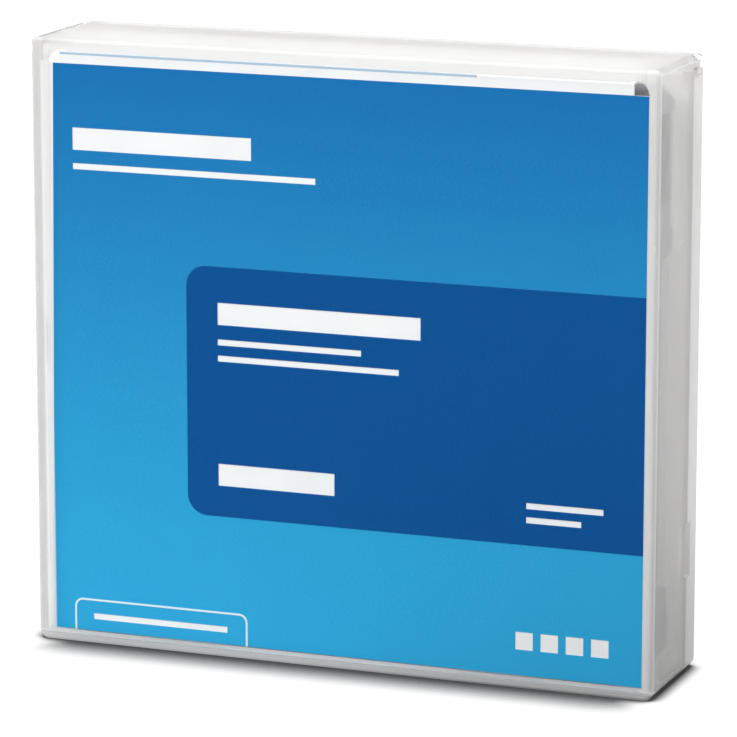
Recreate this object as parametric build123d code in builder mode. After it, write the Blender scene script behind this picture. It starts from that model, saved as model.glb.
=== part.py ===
from build123d import *

import os
from math import acos, atan2, cos, degrees, pi, radians, sin, sqrt

# Half-inch data tape cartridge in its hinged library case, in millimetres.
# X runs across the case, Y from its front to its back, Z up. The case stands on its narrow bottom
# edge, and the origin is the middle of that edge.

# Clearances
run_gap = 0.3  # between pieces that move past each other
seat_gap = 0.3  # round the cartridge where the case seats it
fit_gap = 0.05  # between a pin and its hole
over = 1.0  # a cut's reach past the surface that it opens

# Cartridge housing
cart_width = 105.4
cart_length = 102.0
shell_side_wall = 1.8
shell_face_wall = 1.9
shell_corner = 3.0
shell_edge_round = 0.8
nose_chamfer = 2.4  # at the corners that go into a drive first

# Reel and tape
tape_width = 12.65
tape_side_gap = 0.175
flange_wall = 1.2
flange_rim_wall = 0.9
flange_end_room = 1.15  # between a flange and the housing
flange_side_room = 0.9  # between the flange's rim and the housing's walls
flange_overhang = 1.4  # of the flange past the full tape pack
hub_radius = 22.0
hub_wall = 2.8
hub_floor_wall = 2.6
hub_floor_rise = 1.8  # of the hub's floor above the lower flange
hub_opening_radius = 17.5
hub_ring_wall = 1.4
hub_ring_height = 0.6
flange_lip = 0.4  # of the upper flange past the hub's inner wall
flange_land = 1.0  # flat of the flange round the hub
drive_teeth = 36
drive_tooth_height = 1.0
drive_ring_inner = 12.8
drive_tooth_share = 0.72  # of a tooth in its pitch
drive_tooth_margin = 0.3
tooth_taper = 24.0
boss_recess = 0.7  # of the tooth tips below the housing's face
plate_room = 0.5  # between the drive plate and the ring of drive teeth
plate_bore = 6.0
plate_wall = 1.0
plate_hole_radius = 1.2
brake_teeth = 24
brake_tooth_height = 0.8
brake_ring_inner = 16.0
brake_ring_outer = 18.4
brake_tooth_share = 0.6  # of a hub tooth in its pitch
button_tooth_share = 0.5  # of a button tooth in its pitch
button_tooth_margin = 0.2
brake_travel = 1.5
brake_disc_wall = 1.8
brake_boss_radius = 5.2
brake_boss_height = 5.3
brake_post_side = 5.0
brake_socket_roof = 0.8
brake_pad_radius = 3.0
release_wall = 1.2
release_disc_radius = 9.0
release_leg_count = 3
release_leg_radius = 1.3
release_leg_from_axis = 14.0
release_leg_setback = 0.4  # of a leg's end from the drive teeth's root
brake_spring_radius = 8.0
brake_spring_wire = 0.45
brake_spring_turns = 4
spring_seat_room = 1.0
spring_seat_wall = 1.0
spring_seat_height = 1.0

# Tape end
pin_from_side = 7.6  # pin's axis from the housing's door side
pin_from_nose = 8.7  # pin's axis from the housing's leading edge
pin_radius = 1.5
pin_head_radius = 2.4
pin_head_wall = 1.2
pin_head_chamfer = 0.3
pin_socket_wall = 0.8
clamp_wall = 0.9
clamp_gap = 0.1
clamp_slot = 0.6
leader_wall = 0.1
leader_inset = 0.1  # of the tape's end from the tape's edges
spring_wire = 0.35
spring_bend = 0.9
spring_room = 0.25  # between the wire's arms and the pin's sockets
spring_gap = 0.2  # between the arms and the clamp
spring_past_pin = 1.6
spring_rise = 1.2

# Door
door_from_nose = 4.2
door_window = 15.5
door_window_width = 15.1
door_wall = 1.3
door_overlap = 1.8
door_lip = 0.7  # of the door past the window's top
door_travel = 15.0
door_rail_wall = 1.1
door_rail_height = 1.0
door_finger_drop = 0.4  # below the window's top
door_finger_height = 1.2
door_finger_width = 4.0
door_finger_reach = 1.2
door_spring_radius = 0.72
door_spring_from_middle = 3.2
door_spring_wire = 0.2
door_spring_turns = 9
door_spring_length = 34.0
door_ledge_reach = 2.1
door_ledge_wall = 1.4
door_ledge_setback = 1.0
opener_groove_width = 2.2
opener_groove_depth = 1.2
opener_groove_low = 20.5  # the groove's lower end below the window's top
grip_low = 6.4  # grip notch's lower edge above the label edge
grip_height = 10.6
grip_depth = 2.2
grip_width = 4.6
grip_step = 3.2  # height of the notch's square lower part
grip_wall = 1.4
grip_panel_width = 56.0
grip_panel_height = 22.0
grip_panel_rise = 20.0
grip_panel_corner = 3.0
grip_panel_depth = 0.5
grip_bar_count = 5
grip_bar_length = 46.0
grip_bar_height = 1.6
grip_bar_pitch = 3.4

# Write-protect slide, memory chip, screws and label recess
tab_window = 9.6
tab_window_width = 5.0
tab_from_side = 5.6
tab_from_back = 4.2
tab_travel = 4.0
tab_wall = 2.2
tab_recess = 0.4
tab_lap = 1.8  # of the slide's body past its nub, along the window
tab_lap_side = 0.6
tab_grip_count = 3
tab_grip_pitch = 1.5
tab_grip_width = 0.6
tab_grip_depth = 0.5
tab_rib_lap = 2.0
tab_rib_wall = 1.2
chip_length = 12.0
chip_wall = 0.8
chip_width = 8.0
boss_radius = 2.8
boss_bite = 0.5  # of a boss into the wall beside it
boss_from_door = 13.3
boss_rise_left = 11.0
boss_rise_right = 14.6
screw_radius = 1.1
screw_play = 0.2
screw_head_radius = 2.0
screw_head_wall = 1.3
screw_length = 14.0
screw_sink = 0.3
screw_end_wall = 1.5
screw_cross_length = 2.2
screw_cross_width = 0.5
screw_cross_depth = 0.7
label_recess = 0.4
label_width = 78.0
label_height = 17.4
label_corner = 0.8
label_from_side = 6.0

# Paper in the case
card_wall = 0.3
card_side_room = 0.95  # from the card's edge to the lid's side wall
card_bottom_room = 0.5
card_shoulder_below = 3.1  # the card's shoulders below the lid's top wall
card_fold_below = 1.0  # the card's fold below the lid's top wall
card_neck_step = 2.7
card_flap = 13.5
card_fold_round = 0.27
ink = 0.04
print_gap = 0.1
sheet_wall = 0.2
sheet_width = 78.0
sheet_room = 0.32  # between the folded sheet and the cartridge
panel_from_edge = 26.6  # the dark panel's left end from the card's left edge
panel_rise = 23.4  # the dark panel's lower edge above the card's
panel_height = 45.0
panel_corner = 3.7
blue_left_top = 1.4  # white margin beside the blue field at its upper end
blue_left_bottom = 0.15
outline_from_edge = 4.3  # the tab outline's left end from the card's left edge
outline_width = 33.6
outline_height = 5.9
outline_corner = 1.6
outline_line = 0.35
thick_bar = 4.0  # height of the large bars of bare card in the print
thin_bar = 1.1
# each bar's left end from the card's left edge, its middle above the card's lower edge, and its length
thick_bars = (
    (5.0, 89.5, 34.0),
    (32.5, 60.0, 38.0),
    (32.5, 31.0, 22.0),
)
thin_bars = (
    (5.0, 84.6, 46.0),
    (32.5, 54.9, 27.0),
    (32.5, 52.0, 34.0),
    (90.0, 30.4, 14.0),
    (90.0, 27.9, 10.0),
    (8.0, 2.7, 26.0),
)
square_side = 3.2  # the row of bare squares in the print
square_pitch = 4.6
square_count = 4
squares_from_edge = 14.5  # the row's middle from the card's right edge
squares_rise = 6.2

# Case
case_corner_low = 1.7
case_corner_top = 0.9
case_edge_round = 0.6
lid_front_wall = 1.2
lid_top_wall = 1.4
lid_side_wall = 1.3
base_plate_wall = 1.2
base_floor_wall = 1.2
base_side_wall = 1.2
base_rim_depth = 5.5
cart_side_room = 2.35
cart_head_room = 4.4
hinge_radius = 1.9
hinge_setback = 0.2
hinge_drop = 0.1  # of the barrel below the lid's top face
hinge_pin_radius = 0.8
hinge_ear_radius = 1.7
hinge_pin_inset = 0.35
plate_top_drop = 0.7  # of the back plate's top edge below the hinge's axis
barrel_end_angle = 30.0
wall_front_reach = 2.9  # lower part of the inner side walls, in front of the middle plane
wall_step_low = 75.0
wall_step_rise = 2.2
wall_step_back = 6.5  # upper part of the inner side walls, behind the middle plane
relief_low = 5.0
relief_height = 13.0
relief_slope = 2.5
relief_depth = 6.4
latch_low = 17.4
latch_height = 9.7
latch_front = 1.2  # the notch's reach into the lid, past the seam
latch_back = 1.6
latch_bead_radius = 0.7
latch_bead_stand = 0.22
latch_bead_end = 0.8  # from the notch's end to the bead's end
lug_radius = 2.4
lug_depth = 1.5
ledge_width = 16.0
ledge_spacing = 60.0
side_tab_height = 8.0
side_tab_reach = 1.95
side_tab_wall = 0.8
side_tab_gap = 0.1
seat_ring_inner = 13.4
seat_ring_outer = 16.8

# Cartridge places worked out from the sizes
cart_thick = tape_width + 2 * (tape_side_gap + flange_wall + flange_end_room + shell_face_wall)
case_width = cart_width + 2 * (cart_side_room + base_side_wall + run_gap + lid_side_wall)
case_height = base_floor_wall + seat_gap + cart_length + cart_head_room + lid_top_wall
paper_depth = print_gap + 2 * ink + card_wall + sheet_wall + sheet_room
case_depth = lid_front_wall + paper_depth + cart_thick + seat_gap + base_plate_wall

case_x = case_width / 2
front_y = -case_depth / 2
back_y = case_depth / 2
plate_y = back_y - base_plate_wall
seam_y = back_y - base_rim_depth
lid_back_y = seam_y - run_gap
lid_inner_y = front_y + lid_front_wall
lid_inner_x = case_x - lid_side_wall
lid_inner_z = case_height - lid_top_wall
lid_low_z = base_floor_wall + run_gap
wall_outer_x = lid_inner_x - run_gap
wall_inner_x = wall_outer_x - base_side_wall
hinge_y = back_y - hinge_setback - hinge_radius
hinge_z = case_height - hinge_drop - hinge_radius

cart_back_y = plate_y - seat_gap
cart_front_y = cart_back_y - cart_thick
cart_low_z = base_floor_wall + seat_gap
cart_top_z = cart_low_z + cart_length
cart_x = cart_width / 2
split_y = (cart_front_y + cart_back_y) / 2
inner_front_y = cart_front_y + shell_face_wall
inner_back_y = cart_back_y - shell_face_wall
inner_x = cart_x - shell_side_wall
inner_low_z = cart_low_z + shell_side_wall
inner_top_z = cart_top_z - shell_side_wall
reel_z = (cart_low_z + cart_top_z) / 2

flange_radius = min(cart_length, cart_width) / 2 - shell_side_wall - flange_side_room
pack_radius = flange_radius - flange_overhang
slot_front_y = split_y - tape_width / 2 - tape_side_gap
slot_back_y = split_y + tape_width / 2 + tape_side_gap
hub_inner = hub_radius - hub_wall
hub_floor_y = slot_back_y - hub_floor_rise
hub_under_y = hub_floor_y + hub_floor_wall
boss_outer = hub_opening_radius - run_gap
tooth_tip_y = cart_back_y - boss_recess
tooth_root_y = tooth_tip_y - drive_tooth_height
hub_brake_tip_y = hub_floor_y - brake_tooth_height
brake_tip_y = hub_brake_tip_y - run_gap
brake_root_y = brake_tip_y - brake_tooth_height
brake_top_y = brake_root_y - brake_disc_wall
brake_boss_y = brake_top_y - brake_boss_height
release_y = hub_floor_y - run_gap
brake_post_end_y = brake_root_y - brake_socket_roof - brake_travel - run_gap
brake_pad_y = release_y - release_wall - run_gap
brake_middle = (brake_ring_inner + brake_ring_outer) / 2
brake_pitch = 2 * pi * brake_middle / brake_teeth
drive_middle = (drive_ring_inner + boss_outer) / 2
plate_radius = drive_ring_inner - plate_room
drive_pitch = 2 * pi * drive_middle / drive_teeth

pin_x = cart_x - pin_from_side
pin_z = cart_top_z - pin_from_nose
pin_front_y = inner_front_y + run_gap
pin_back_y = inner_back_y - run_gap
arm_reach = (pin_back_y - pin_front_y) / 2 - pin_head_wall - spring_room - spring_wire
clamp_length = 2 * (arm_reach - spring_wire - spring_gap)
window_top_z = cart_top_z - door_from_nose
window_low_z = window_top_z - door_window
door_outer_x = inner_x - run_gap
door_inner_x = door_outer_x - door_wall
door_top_z = window_top_z + door_lip
door_low_z = window_low_z - door_overlap
door_front_y = inner_front_y + run_gap
door_back_y = inner_back_y - run_gap
rail_x = door_inner_x - run_gap - door_rail_wall
rail_low_z = door_low_z - door_travel - door_overlap
rail_top_z = pin_z - pin_head_radius - 2 * run_gap
rail_length = rail_top_z - rail_low_z
spring_x = inner_x - run_gap - door_spring_radius - door_spring_wire
spring_y = split_y + door_spring_from_middle
spring_low_z = door_low_z - run_gap - door_spring_length
finger_reach_z = door_finger_drop + door_finger_height + door_travel + run_gap
tab_y = cart_back_y - tab_from_back - tab_window_width / 2
tab_window_x = -cart_x + tab_from_side
label_x = cart_x - label_from_side - label_width / 2

card_x = lid_inner_x - card_side_room
card_low_z = lid_low_z + card_bottom_room
card_shoulder_z = lid_inner_z - card_shoulder_below
card_fold_z = lid_inner_z - card_fold_below
card_neck_x = card_x - card_neck_step
panel_left = -card_x + panel_from_edge
outline_middle = -card_x + outline_from_edge + outline_width / 2
card_front_y = lid_inner_y + print_gap + 2 * ink
card_back_y = card_front_y + card_wall
sheet_back_y = card_back_y + sheet_wall

# Screw bosses: across, up, for each corner of the housing
boss_near = boss_radius - boss_bite
boss_places = (
    (-inner_x + boss_near, inner_top_z - boss_near),
    (inner_x - boss_from_door, inner_top_z - boss_near),
    (-inner_x + boss_near, inner_low_z + boss_rise_left),
    (inner_x - boss_near, inner_low_z + boss_rise_right),
)
screw_head_y = cart_back_y - screw_sink


def at_y(y):
    """Plane at depth y, facing forward: its own x is X and its own y is Z."""
    return Plane.XZ.offset(-y)


def at_x(x):
    """Plane across the part at x: its own x is Y and its own y is Z."""
    return Plane.YZ.offset(x)


reel_axis = Axis((0, 0, reel_z), (0, 1, 0))

# The case's outer block, which the base and the lid both keep their share of
with BuildPart() as case_block:
    with BuildSketch(at_y(back_y)) as case_outline:
        with Locations((0, case_height / 2)):
            Rectangle(case_width, case_height)
        fillet(case_outline.vertices().group_by(Axis.Y)[0], case_corner_low)
        fillet(case_outline.vertices().group_by(Axis.Y)[-1], case_corner_top)
    extrude(amount=case_depth)
    fillet(case_block.faces().sort_by(Axis.Y)[0].edges(), case_edge_round)

# Case base: back plate, rim, floor, and the inner side walls with the hinge pins
with BuildPart() as case_base:
    add(case_block.part)
    fillet(case_base.faces().sort_by(Axis.Y)[-1].edges(), case_edge_round)
    # the room in front of the rim, down to the floor
    with BuildSketch(at_y(seam_y)):
        with Locations((0, base_floor_wall)):
            Rectangle(2 * case_width, 2 * case_height, align=(Align.CENTER, Align.MIN))
    extrude(amount=case_depth, mode=Mode.SUBTRACT)
    # the tray's hollow, from the plate forward
    with BuildSketch(at_y(plate_y)):
        with Locations((0, base_floor_wall)):
            Rectangle(2 * wall_inner_x, 2 * case_height, align=(Align.CENTER, Align.MIN))
    extrude(amount=case_depth, mode=Mode.SUBTRACT)
    # the top edge makes room for the lid's barrel to turn
    with BuildSketch(at_x(-case_width)):
        with Locations((hinge_y, hinge_z)):
            Circle(hinge_radius + run_gap)
        with Locations((back_y, hinge_z - plate_top_drop)):
            Rectangle(2 * base_rim_depth + over, case_height, align=(Align.CENTER, Align.MIN))
    extrude(amount=2 * case_width, mode=Mode.SUBTRACT)
    # inner side walls, stepped back in their upper part, with an ear round each hinge pin
    for side in (-1, 1):
        with BuildSketch(at_x(side * wall_inner_x)):
            with BuildLine():
                Polyline(
                    (plate_y, base_floor_wall),
                    (-wall_front_reach, base_floor_wall),
                    (-wall_front_reach, wall_step_low),
                    (wall_step_back, wall_step_low + wall_step_rise),
                    (wall_step_back, hinge_z - 3 * hinge_radius),
                    (hinge_y - hinge_ear_radius, hinge_z),
                    (hinge_y, hinge_z),
                    (plate_y, hinge_z - 2 * hinge_radius),
                    close=True,
                )
            make_face()
            with Locations((hinge_y, hinge_z)):
                Circle(hinge_ear_radius)
            # finger relief near the floor
            with BuildLine():
                Polyline(
                    (-wall_front_reach - over, relief_low),
                    (-wall_front_reach + relief_depth, relief_low),
                    (-wall_front_reach + relief_depth - relief_slope, relief_low + relief_height),
                    (-wall_front_reach - over, relief_low + relief_height),
                    close=True,
                )
            make_face(mode=Mode.SUBTRACT)
        extrude(amount=side * base_side_wall)
        with BuildSketch(at_x(side * wall_outer_x)):
            with Locations((hinge_y, hinge_z)):
                Circle(hinge_pin_radius)
        extrude(amount=side * (case_x - hinge_pin_inset - wall_outer_x))
        # latch notch in the rim, and the bead that the lid's edge clicks over
        with BuildSketch(at_x(side * wall_outer_x)):
            with Locations((seam_y, latch_low)):
                Rectangle(2 * latch_back, latch_height, align=(Align.CENTER, Align.MIN))
        extrude(amount=side * 2 * lid_side_wall, mode=Mode.SUBTRACT)
        with BuildSketch(Plane.XY.offset(latch_low + latch_bead_end)):
            bead_x = wall_outer_x + latch_bead_stand - latch_bead_radius
            with Locations((side * bead_x, lid_back_y - latch_front / 2)):
                Circle(latch_bead_radius)
        extrude(amount=latch_height - 2 * latch_bead_end)
    # seat ring that keeps the cartridge centred at its hub opening
    with BuildSketch(at_y(plate_y)):
        with Locations((0, reel_z)):
            Circle(seat_ring_outer)
            Circle(seat_ring_inner, mode=Mode.SUBTRACT)
    extrude(amount=plate_y - tooth_tip_y - run_gap)

# Case lid: front, top and side walls, with the hinge barrel along its top back edge
with BuildPart() as case_lid:
    add(case_block.part)
    with BuildSketch(Plane.XY.offset(lid_low_z)):
        Rectangle(2 * case_width, 2 * case_depth)
    extrude(amount=-2 * lid_low_z, mode=Mode.SUBTRACT)
    # everything behind the seam but the barrel and its link to the top wall
    with BuildSketch(at_x(-case_width)):
        with Locations((lid_back_y, -over)):
            Rectangle(case_depth, case_height + 2 * over, align=(Align.MIN, Align.MIN))
        with Locations((lid_back_y, hinge_z)):
            Rectangle(
                hinge_y - lid_back_y,
                2 * hinge_radius,
                align=(Align.MIN, Align.MIN),
                mode=Mode.SUBTRACT,
            )
        with Locations((hinge_y, hinge_z)):
            Circle(hinge_radius, mode=Mode.SUBTRACT)
    extrude(amount=2 * case_width, mode=Mode.SUBTRACT)
    # the hollow
    with BuildSketch(at_y(hinge_y)):
        with Locations((0, lid_inner_z)):
            Rectangle(2 * lid_inner_x, case_height, align=(Align.CENTER, Align.MAX))
    extrude(amount=hinge_y - lid_inner_y, mode=Mode.SUBTRACT)
    # the barrel is an open arc between the base's ears
    with BuildSketch(at_x(-wall_inner_x + run_gap)):
        with Locations((hinge_y, hinge_z)):
            Circle(hinge_radius - lid_top_wall)
        with BuildLine():
            reach = 2 * hinge_radius
            Polyline(
                (hinge_y, hinge_z),
                (
                    hinge_y + reach * cos(radians(barrel_end_angle)),
                    hinge_z - reach * sin(radians(barrel_end_angle)),
                ),
                (hinge_y + reach, hinge_z - reach),
                (hinge_y - reach, hinge_z - reach),
                (hinge_y - reach, lid_inner_z),
                (hinge_y, lid_inner_z),
                close=True,
            )
        make_face()
    extrude(amount=2 * (wall_inner_x - run_gap), mode=Mode.SUBTRACT)
    for side in (-1, 1):
        # room for the base's ear, then the pin's hole
        with BuildSketch(at_x(side * (wall_inner_x - run_gap))):
            with Locations((hinge_y, hinge_z)):
                Circle(hinge_ear_radius + run_gap)
        extrude(amount=side * (base_side_wall + 2 * run_gap), mode=Mode.SUBTRACT)
        with BuildSketch(at_x(side * lid_inner_x)):
            with Locations((hinge_y, hinge_z)):
                Circle(hinge_pin_radius + fit_gap)
        extrude(amount=side * 2 * lid_side_wall, mode=Mode.SUBTRACT)
        # latch notch
        with BuildSketch(at_x(side * (lid_inner_x - over))):
            with Locations((lid_back_y, latch_low)):
                Rectangle(2 * latch_front, latch_height, align=(Align.CENTER, Align.MIN))
        extrude(amount=side * 3 * lid_side_wall, mode=Mode.SUBTRACT)
        # lug over each of the card's shoulders, hollowed to a quarter circle
        with BuildSketch(at_y(lid_inner_y)):
            with Locations((side * (card_x - lug_radius), card_shoulder_z + seat_gap)):
                Rectangle(
                    lid_inner_x - card_x + lug_radius,
                    lid_inner_z - card_shoulder_z - seat_gap,
                    align=(Align.MAX if side < 0 else Align.MIN, Align.MIN),
                )
                Circle(lug_radius, mode=Mode.SUBTRACT)
        extrude(amount=-lug_depth)
        # small tab behind the card's edge
        with BuildSketch(at_y(sheet_back_y + side_tab_gap)):
            with Locations((side * (lid_inner_x - side_tab_reach / 2), case_height / 2)):
                Rectangle(side_tab_reach, side_tab_height)
        extrude(amount=-side_tab_wall)
    # ledges that the card stands on
    with BuildSketch(at_y(lid_inner_y)):
        with GridLocations(ledge_spacing, 1, 2, 1):
            with Locations((0, lid_low_z)):
                Rectangle(ledge_width, card_bottom_room, align=(Align.CENTER, Align.MIN))
    extrude(amount=-(card_back_y - lid_inner_y))

# Insert card: front panel with stepped shoulders, folded back under the lid's top wall
with BuildPart() as insert_card:
    with BuildSketch(at_y(card_back_y)):
        with Locations((0, card_low_z)):
            Rectangle(2 * card_x, card_shoulder_z - card_low_z, align=(Align.CENTER, Align.MIN))
            Rectangle(2 * card_neck_x, card_fold_z - card_low_z, align=(Align.CENTER, Align.MIN))
    extrude(amount=card_wall)
    with BuildSketch(Plane.XY.offset(card_fold_z)):
        with Locations((0, card_front_y)):
            Rectangle(2 * card_neck_x, card_flap, align=(Align.CENTER, Align.MIN))
    extrude(amount=-card_wall)
    fold = insert_card.edges().filter_by(Axis.X).group_by(Axis.Z)[-1].sort_by(Axis.Y)[0]
    fillet(fold, card_fold_round)

# Bars and squares that the inks leave bare, so that the white card shows
with BuildSketch(at_y(card_front_y)) as bare_marks:
    for thickness, bars in ((thick_bar, thick_bars), (thin_bar, thin_bars)):
        for from_edge, rise, length in bars:
            with Locations((-card_x + from_edge, card_low_z + rise)):
                Rectangle(length, thickness, align=(Align.MIN, Align.CENTER))
    with Locations((card_x - squares_from_edge, card_low_z + squares_rise)):
        with GridLocations(square_pitch, 1, square_count, 1):
            Rectangle(square_side, square_side)

# Ink on the card: the blue field, the dark panel that runs off its right edge, the tab outline
with BuildPart() as print_blue_field:
    with BuildSketch(at_y(card_front_y)):
        with BuildLine():
            Polyline(
                (-card_x + blue_left_bottom, card_low_z),
                (card_x, card_low_z),
                (card_x, card_shoulder_z),
                (-card_x + blue_left_top, card_shoulder_z),
                close=True,
            )
        make_face()
        add(bare_marks.sketch_local, mode=Mode.SUBTRACT)
    extrude(amount=ink)

with BuildPart() as print_dark_panel:
    with BuildSketch(at_y(card_front_y - ink)) as panel_sketch:
        with Locations((panel_left, card_low_z + panel_rise)):
            Rectangle(card_x - panel_left, panel_height, align=(Align.MIN, Align.MIN))
        fillet(panel_sketch.vertices().group_by(Axis.X)[0], panel_corner)
        add(bare_marks.sketch_local, mode=Mode.SUBTRACT)
    extrude(amount=ink)

with BuildPart() as print_tab_outline:
    for inset, mode in ((0, Mode.ADD), (outline_line, Mode.SUBTRACT)):
        with BuildSketch(at_y(card_front_y - ink)) as outline_sketch:
            with Locations((outline_middle, card_low_z)):
                Rectangle(
                    outline_width - 2 * inset,
                    outline_height - inset,
                    align=(Align.CENTER, Align.MIN),
                )
            fillet(outline_sketch.vertices().group_by(Axis.Y)[-1], outline_corner - inset)
        extrude(amount=ink, mode=mode)

# Folded label sheet behind the card
with BuildPart() as label_sheet:
    with BuildSketch(at_y(sheet_back_y)):
        with Locations((-card_neck_x, card_low_z)):
            Rectangle(
                sheet_width, card_fold_z - card_wall - card_low_z, align=(Align.MIN, Align.MIN)
            )
    extrude(amount=sheet_wall)

# Cartridge outline, as the two halves share it
with BuildSketch(at_y(split_y)) as shell_outline:
    with Locations((0, reel_z)):
        Rectangle(cart_width, cart_length)
    fillet(shell_outline.vertices().group_by(Axis.Y)[0], shell_corner)
    chamfer(shell_outline.vertices().group_by(Axis.Y)[-1], nose_chamfer)


def shell_half(outer_y, inner_y):
    """Half of the cartridge's housing, from the parting plane out to outer_y, with its bosses."""
    out = split_y - outer_y
    deep = split_y - inner_y
    toward = 1 if out > 0 else -1
    with BuildPart() as half:
        with BuildSketch(at_y(split_y)):
            add(shell_outline.sketch_local)
        extrude(amount=out)
        rim = half.faces().sort_by(Axis.Y)[0 if toward > 0 else -1]
        fillet(rim.edges(), shell_edge_round)
        with BuildSketch(at_y(split_y)):
            add(shell_outline.sketch_local)
            offset(amount=-shell_side_wall, kind=Kind.INTERSECTION, mode=Mode.REPLACE)
        extrude(amount=deep, mode=Mode.SUBTRACT)
        # screw bosses
        with BuildSketch(at_y(inner_y)):
            with Locations(*boss_places):
                Circle(boss_radius)
        extrude(amount=-deep)
        # rails that the door runs in
        with BuildSketch(at_y(inner_y)):
            with Locations((rail_x, rail_low_z)):
                Rectangle(door_rail_wall, rail_length, align=(Align.MIN, Align.MIN))
        extrude(amount=-toward * door_rail_height)
        # C-shaped socket for the leader pin's head, open to the door
        with BuildSketch(at_y(inner_y)):
            with Locations((pin_x, pin_z)):
                Circle(pin_head_radius + run_gap + pin_socket_wall)
                Circle(pin_head_radius + run_gap, mode=Mode.SUBTRACT)
                Rectangle(
                    2 * pin_head_radius,
                    2 * pin_head_radius,
                    align=(Align.MIN, Align.CENTER),
                    mode=Mode.SUBTRACT,
                )
        extrude(amount=-toward * (run_gap + pin_head_wall))
        # door window, and a notch down from it for the door's finger
        with BuildSketch(at_x(inner_x - fit_gap)):
            with Locations((split_y, window_top_z)):
                Rectangle(door_window_width, door_window, align=(Align.CENTER, Align.MAX))
                Rectangle(
                    door_finger_width + 2 * run_gap,
                    finger_reach_z,
                    align=(Align.CENTER, Align.MAX),
                )
        extrude(amount=2 * shell_side_wall, mode=Mode.SUBTRACT)
        # shallow recess for a label along the rear edge
        with BuildSketch(Plane.XY.offset(cart_low_z)):
            with Locations((label_x, split_y)):
                RectangleRounded(label_width, label_height, label_corner)
        extrude(amount=label_recess, mode=Mode.SUBTRACT)
    return half.part


# Upper shell: the face behind the card, with grip bars, grip notches and the brake's post
with BuildPart() as upper_shell:
    add(shell_half(cart_front_y, inner_front_y))
    # blind holes for the screws
    with BuildSketch(at_y(split_y)):
        with Locations(*boss_places):
            Circle(screw_radius + fit_gap)
    extrude(amount=split_y - inner_front_y - screw_end_wall, mode=Mode.SUBTRACT)
    for side in (-1, 1):
        # wall behind each grip notch, then the notch
        notch_low_z = cart_low_z + grip_low
        with BuildSketch(Plane.XY.offset(notch_low_z - grip_wall)):
            with Locations((side * (cart_x - grip_depth - grip_wall), inner_front_y)):
                Rectangle(
                    grip_depth,
                    grip_width + grip_wall - shell_face_wall,
                    align=(Align.MIN if side > 0 else Align.MAX, Align.MIN),
                )
        extrude(amount=grip_height + 2 * grip_wall)
        with BuildSketch(at_x(side * (cart_x - grip_depth))):
            with BuildLine():
                Polyline(
                    (cart_front_y - over, notch_low_z),
                    (cart_front_y + grip_width, notch_low_z),
                    (cart_front_y + grip_width, notch_low_z + grip_step),
                    (cart_front_y + grip_width / 2, notch_low_z + grip_height),
                    (cart_front_y - over, notch_low_z + grip_height),
                    close=True,
                )
            make_face()
        extrude(amount=side * 2 * grip_depth, mode=Mode.SUBTRACT)
    # square post that keeps the brake from turning, and the spring's seat
    with BuildSketch(at_y(inner_front_y)):
        with Locations((0, reel_z)):
            Rectangle(brake_post_side, brake_post_side)
    extrude(amount=-(brake_post_end_y - inner_front_y))
    with BuildSketch(at_y(inner_front_y)):
        with Locations((0, reel_z)):
            Circle(brake_spring_radius + spring_seat_room + spring_seat_wall)
            Circle(brake_spring_radius + spring_seat_room, mode=Mode.SUBTRACT)
    extrude(amount=-spring_seat_height)
    # grip bars in a shallow panel near the rear edge
    with BuildSketch(at_y(cart_front_y + grip_panel_depth)):
        with Locations((0, cart_low_z + grip_panel_rise)):
            RectangleRounded(grip_panel_width, grip_panel_height, grip_panel_corner)
            with GridLocations(1, grip_bar_pitch, 1, grip_bar_count):
                Rectangle(grip_bar_length, grip_bar_height, mode=Mode.SUBTRACT)
    extrude(amount=grip_panel_depth + over, mode=Mode.SUBTRACT)

# Lower shell: the drive side, with the hub opening, screw wells, the write-protect window
# and the slots that hold the memory chip
with BuildPart() as lower_shell:
    add(shell_half(cart_back_y, inner_back_y))
    with BuildSketch(at_y(cart_back_y)):
        with Locations((0, reel_z)):
            Circle(hub_opening_radius)
    extrude(amount=shell_face_wall, mode=Mode.SUBTRACT)
    with BuildSketch(at_y(cart_back_y)):
        with Locations(*boss_places):
            Circle(screw_radius + screw_play)
    extrude(amount=cart_back_y - split_y, mode=Mode.SUBTRACT)
    with BuildSketch(at_y(cart_back_y)):
        with Locations(*boss_places):
            Circle(screw_head_radius + run_gap)
    extrude(amount=screw_sink + screw_head_wall, mode=Mode.SUBTRACT)
    # ring that guides the hub's boss
    with BuildSketch(at_y(inner_back_y)):
        with Locations((0, reel_z)):
            Circle(hub_opening_radius + hub_ring_wall)
            Circle(hub_opening_radius, mode=Mode.SUBTRACT)
    extrude(amount=hub_ring_height)
    # groove for the drive's door opener, along the drive-side edge of the door wall
    with BuildSketch(at_x(cart_x - opener_groove_depth)):
        with Locations((cart_back_y + over, window_top_z)):
            Rectangle(
                opener_groove_width + over, opener_groove_low, align=(Align.MAX, Align.MAX)
            )
    extrude(amount=2 * opener_groove_depth, mode=Mode.SUBTRACT)
    # write-protect window through the rear edge
    with BuildSketch(Plane.XY.offset(cart_low_z)):
        with Locations((tab_window_x, tab_y)):
            Rectangle(tab_window, tab_window_width, align=(Align.MIN, Align.CENTER))
    extrude(amount=shell_side_wall, mode=Mode.SUBTRACT)
    # rib behind the slide
    with BuildSketch(at_y(inner_back_y)):
        with Locations((tab_window_x - tab_rib_lap, inner_low_z + tab_wall + 2 * run_gap)):
            Rectangle(tab_window + 2 * tab_rib_lap, tab_rib_wall, align=(Align.MIN, Align.MIN))
    extrude(amount=inner_back_y - split_y - run_gap)
    # seat under the door's spring
    with BuildSketch(at_y(inner_back_y)):
        with Locations((inner_x, spring_low_z - run_gap)):
            Rectangle(door_ledge_reach, door_ledge_wall, align=(Align.MAX, Align.MAX))
    extrude(amount=inner_back_y - split_y - door_ledge_setback)

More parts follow.
